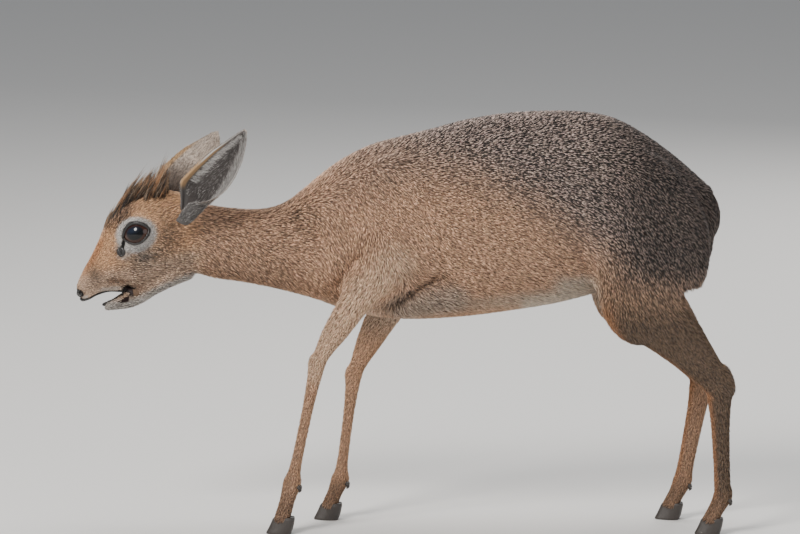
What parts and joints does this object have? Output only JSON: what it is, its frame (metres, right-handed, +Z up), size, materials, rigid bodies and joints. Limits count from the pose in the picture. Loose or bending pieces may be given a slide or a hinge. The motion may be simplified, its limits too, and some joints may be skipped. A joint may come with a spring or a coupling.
{
  "type": "dik-dik model",
  "caption": "Still life-size model of a dik-dik, a tiny antelope with a forehead crest, creeping forward with its head held low and its mouth open.",
  "frame": {"origin": "bottom centre of the box round the whole animal, level with the soles of its hooves", "axes": "+X from nose to rump, so the animal faces -X; +Y towards its right side; +Z up"},
  "size_m": [0.5654, 0.1366, 0.3631],
  "materials": {
    "face_coat": "short soft orange-brown hair",
    "pale_coat": "short pale grey hair",
    "nose_skin": "bare moist black skin",
    "ear_coat": "thin grey-tan hair, pale inside",
    "eye": "polished dark brown",
    "tawny_coat": "ticked tawny hair",
    "grizzled_coat": "grizzled grey-brown hair",
    "leg_coat": "short orange-tan hair",
    "hoof_horn": "dark horn"
  },
  "bodies": {
    "root": {"head": "face_coat", "lower_jaw": "pale_coat", "nose": "nose_skin", "ear_left": "ear_coat", "ear_right": "ear_coat", "eye_left": "eye", "eye_right": "eye", "neck": "tawny_coat", "torso": "grizzled_coat", "tail": "grizzled_coat", "foreleg_left_shoulder": "tawny_coat", "foreleg_left_forearm": "leg_coat", "foreleg_left_cannon": "leg_coat", "foreleg_left_foot": "leg_coat", "foreleg_left_hoof_inner": "hoof_horn", "foreleg_left_hoof_outer": "hoof_horn", "hindleg_left_thigh": "grizzled_coat", "hindleg_left_gaskin": "leg_coat", "hindleg_left_cannon": "leg_coat", "hindleg_left_foot": "leg_coat", "hindleg_left_hoof_inner": "hoof_horn", "hindleg_left_hoof_outer": "hoof_horn", "foreleg_right_shoulder": "tawny_coat", "foreleg_right_forearm": "leg_coat", "foreleg_right_cannon": "leg_coat", "foreleg_right_foot": "leg_coat", "foreleg_right_hoof_inner": "hoof_horn", "foreleg_right_hoof_outer": "hoof_horn", "hindleg_right_thigh": "grizzled_coat", "hindleg_right_gaskin": "leg_coat", "hindleg_right_cannon": "leg_coat", "hindleg_right_foot": "leg_coat", "hindleg_right_hoof_inner": "hoof_horn", "hindleg_right_hoof_outer": "hoof_horn"}
  },
  "joints": []
}
